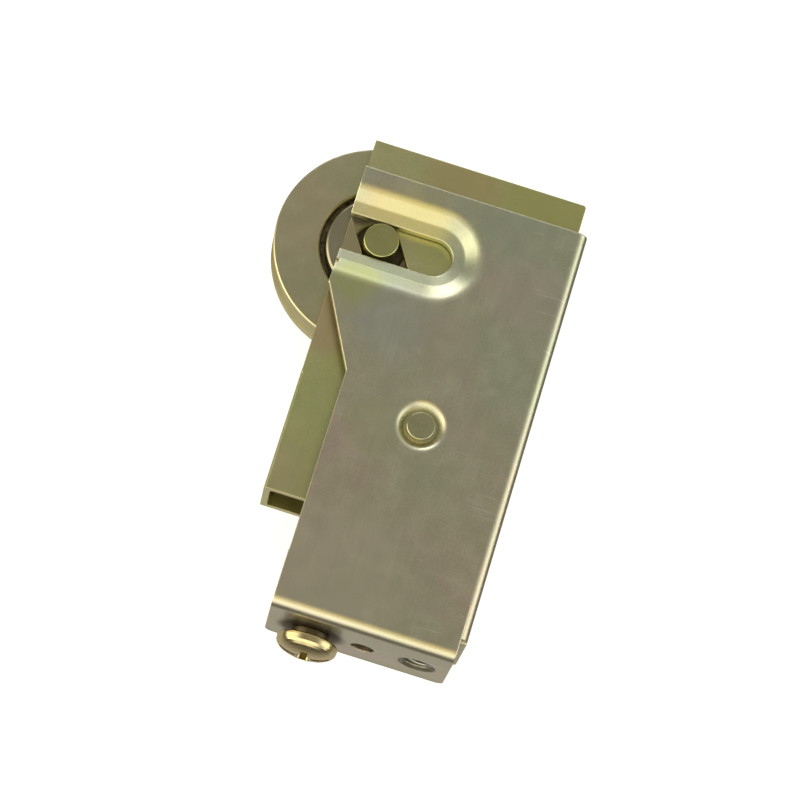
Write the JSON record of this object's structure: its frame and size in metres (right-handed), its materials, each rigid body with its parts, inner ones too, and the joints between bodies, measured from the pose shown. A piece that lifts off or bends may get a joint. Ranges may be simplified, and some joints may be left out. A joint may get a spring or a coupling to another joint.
{
  "type": "sliding door roller",
  "caption": "Adjustable sliding door roller: a grooved steel wheel on a ball bearing, moved in and out of a folded steel housing by a slider with cam slots and an adjusting screw.",
  "frame": {"origin": "centre of the wheel at rest, on its axis and midway between its faces", "axes": "+X along the housing from the wheel end to the flange and screw head; +Y along the wheel's axis, away from the side plate the end flange is bent from; +Z from the wheel towards the housing's web, so the wheel stands out and rolls at -Z"},
  "size_m": [0.0941, 0.019, 0.0543],
  "materials": {
    "plated_sheet": "satin yellow zinc plate",
    "plated_turned": "semi-gloss yellow zinc plate",
    "plated_wheel": "satin yellow zinc plate",
    "race_steel": "satin, light oil",
    "plain_steel": "satin",
    "ball_steel": "polished"
  },
  "bodies": {
    "housing": {"housing": "plated_sheet", "guide_pin": "plated_turned", "guide_spacer": "plain_steel"},
    "slider": {"slider": "plated_sheet", "adjusting_nut": "plated_turned"},
    "screw": {"adjusting_screw": "plated_turned", "screw_retainer": "plain_steel"},
    "axle": {"axle_pin": "plated_turned", "axle_sleeve": "plain_steel", "inner_race_front": "race_steel", "inner_race_back": "race_steel"},
    "balls": {"bearing_balls": "ball_steel"},
    "wheel": {"wheel": "plated_wheel"}
  },
  "joints": [
    {"name": "slider_slide", "type": "slide", "parent": "housing", "child": "slider", "axis": [1, 0, 0], "range_m": [-0.00952, 0.00476]},
    {"name": "screw_turn", "type": "hinge", "parent": "housing", "child": "screw", "pos_m": [0.0702, 0.0008, 0.0089], "axis": [1, 0, 0], "range_deg": [-1650, 3270]},
    {"name": "axle_slide", "type": "slide", "parent": "housing", "child": "axle", "axis": [0, 0, 1], "range_m": [-0.0031, 0.0061]},
    {"name": "wheel_spin", "type": "hinge", "parent": "axle", "child": "wheel", "pos_m": [0, 0, 0], "axis": [0, 1, 0], "continuous": true},
    {"name": "ball_orbit", "type": "hinge", "parent": "axle", "child": "balls", "pos_m": [0, 0, 0], "axis": [0, 1, 0], "continuous": true}
  ],
  "couplings": [
    {"joint": "screw_turn", "follows": "slider_slide", "rad_per_m": -5938.7},
    {"joint": "axle_slide", "follows": "slider_slide", "ratio": -0.62487},
    {"joint": "ball_orbit", "follows": "wheel_spin", "ratio": 0.598}
  ]
}
